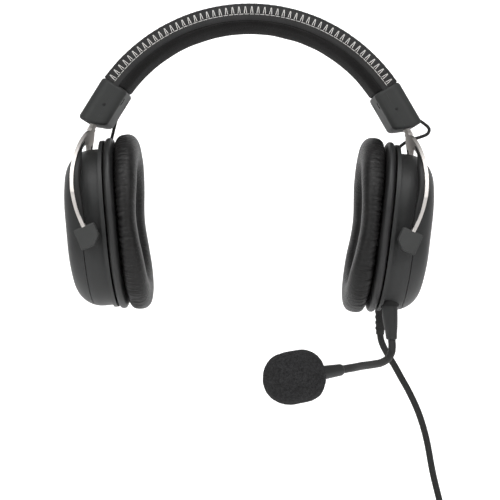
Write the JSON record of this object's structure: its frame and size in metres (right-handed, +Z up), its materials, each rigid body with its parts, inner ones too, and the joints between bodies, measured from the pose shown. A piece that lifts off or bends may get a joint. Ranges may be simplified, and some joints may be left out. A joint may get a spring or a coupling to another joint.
{
  "type": "aviation headset",
  "caption": "Over-ear headset with a padded laced headband, sliding metal forks, tilting cups, a gooseneck microphone and a coiled cord with a twin plug tail.",
  "frame": {"origin": "middle of the wearer's head, half way between the two cups' tilt pivots", "axes": "+X towards the wearer's left, -Y towards the wearer's front, +Z up"},
  "size_m": [0.234, 0.1567, 0.3388],
  "materials": {
    "spring_steel": "cold rolled strip",
    "leatherette": "fine grained black leatherette",
    "laced_leatherette": "puffed black leatherette with pale lacing thread",
    "pad_leatherette": "soft wrinkled black leatherette",
    "cord_jacket": "smooth black jacket",
    "main_cord_jacket": "black braided sleeve",
    "screw_steel": "plated steel",
    "matte_black": "fine spark-eroded texture",
    "cup_black": "satin soft-touch black",
    "brushed_alloy": "brushed",
    "magnet_plating": "nickel plated",
    "diaphragm_film": "thin film",
    "acoustic_foam": "open cell foam",
    "ear_fabric": "thin woven cloth",
    "board_green": "solder mask",
    "soft_rubber": "satin black",
    "mic_black": "satin black",
    "capsule_metal": "bead blasted",
    "plug_metal": "black moulded barrel with a polished brass pin"
  },
  "bodies": {
    "headband": {"headband_spring": "spring_steel", "headband_cover": "leatherette", "headband_lacing": "laced_leatherette", "headband_cushion": "leatherette", "headband_wire": "cord_jacket", "cap_screws": "screw_steel", "left_cap_outer": "matte_black", "left_cap_inner": "matte_black", "left_detent_spring": "spring_steel", "right_cap_outer": "matte_black", "right_cap_inner": "matte_black", "right_detent_spring": "spring_steel", "left_lead": "cord_jacket", "right_lead": "cord_jacket"},
    "left_fork": {"left_fork": "brushed_alloy", "left_pivot_blocks": "matte_black"},
    "right_fork": {"right_fork": "brushed_alloy", "right_pivot_blocks": "matte_black"},
    "left_cup": {"left_shell": "cup_black", "left_outer_cover": "cup_black", "left_pivot_pins": "screw_steel", "left_baffle": "cup_black", "left_speaker_frame": "cup_black", "left_magnet": "magnet_plating", "left_diaphragm": "diaphragm_film", "left_damping_foam": "acoustic_foam", "left_ear_cloth": "ear_fabric", "left_pad_skirt": "leatherette", "left_ear_pad": "pad_leatherette", "left_cover_screws": "screw_steel", "mic_socket": "matte_black", "terminal_board": "board_green", "cable_relief": "soft_rubber", "main_cord": "main_cord_jacket", "cord_coil": "main_cord_jacket", "coil_tie": "soft_rubber", "splitter": "soft_rubber", "phone_tail": "cord_jacket", "mic_tail": "cord_jacket", "phone_plug": "plug_metal", "mic_plug": "plug_metal"},
    "right_cup": {"right_shell": "cup_black", "right_outer_cover": "cup_black", "right_pivot_pins": "screw_steel", "right_baffle": "cup_black", "right_speaker_frame": "cup_black", "right_magnet": "magnet_plating", "right_diaphragm": "diaphragm_film", "right_damping_foam": "acoustic_foam", "right_ear_cloth": "ear_fabric", "right_pad_skirt": "leatherette", "right_ear_pad": "pad_leatherette", "right_cover_screws": "screw_steel"},
    "boom": {"boom_plug": "matte_black"},
    "gooseneck": {"gooseneck_middle": "soft_rubber"},
    "microphone": {"mic_housing": "mic_black", "mic_capsule": "capsule_metal", "windscreen": "acoustic_foam"}
  },
  "joints": [
    {"name": "left_fork_slide", "type": "slide", "parent": "headband", "child": "left_fork", "axis": [0.515, 0, -0.8572], "range_m": [0, 0.024], "deforming": ["left_lead"]},
    {"name": "right_fork_slide", "type": "slide", "parent": "headband", "child": "right_fork", "axis": [-0.515, 0, -0.8572], "range_m": [0, 0.024], "deforming": ["right_lead"]},
    {"name": "left_cup_tilt", "type": "hinge", "parent": "left_fork", "child": "left_cup", "pos_m": [0.091, 0, 0], "axis": [0, 1, 0], "range_deg": [-6, 6], "deforming": ["left_lead"]},
    {"name": "right_cup_tilt", "type": "hinge", "parent": "right_fork", "child": "right_cup", "pos_m": [-0.091, 0, 0], "axis": [0, 1, 0], "range_deg": [-6, 6], "deforming": ["right_lead"]},
    {"name": "boom_unplug", "type": "slide", "parent": "left_cup", "child": "boom", "axis": [0, 0, -1], "range_m": [0, 0.01]},
    {"name": "gooseneck_swing", "type": "hinge", "parent": "boom", "child": "gooseneck", "pos_m": [0.0838, -0.0175, -0.0635], "axis": [0, 0, 1], "range_deg": [-25, 25]},
    {"name": "microphone_bend", "type": "hinge", "parent": "gooseneck", "child": "microphone", "pos_m": [0.057, -0.068, -0.0705], "axis": [-0.5617, 0.8273, 0], "range_deg": [-25, 25]}
  ]
}
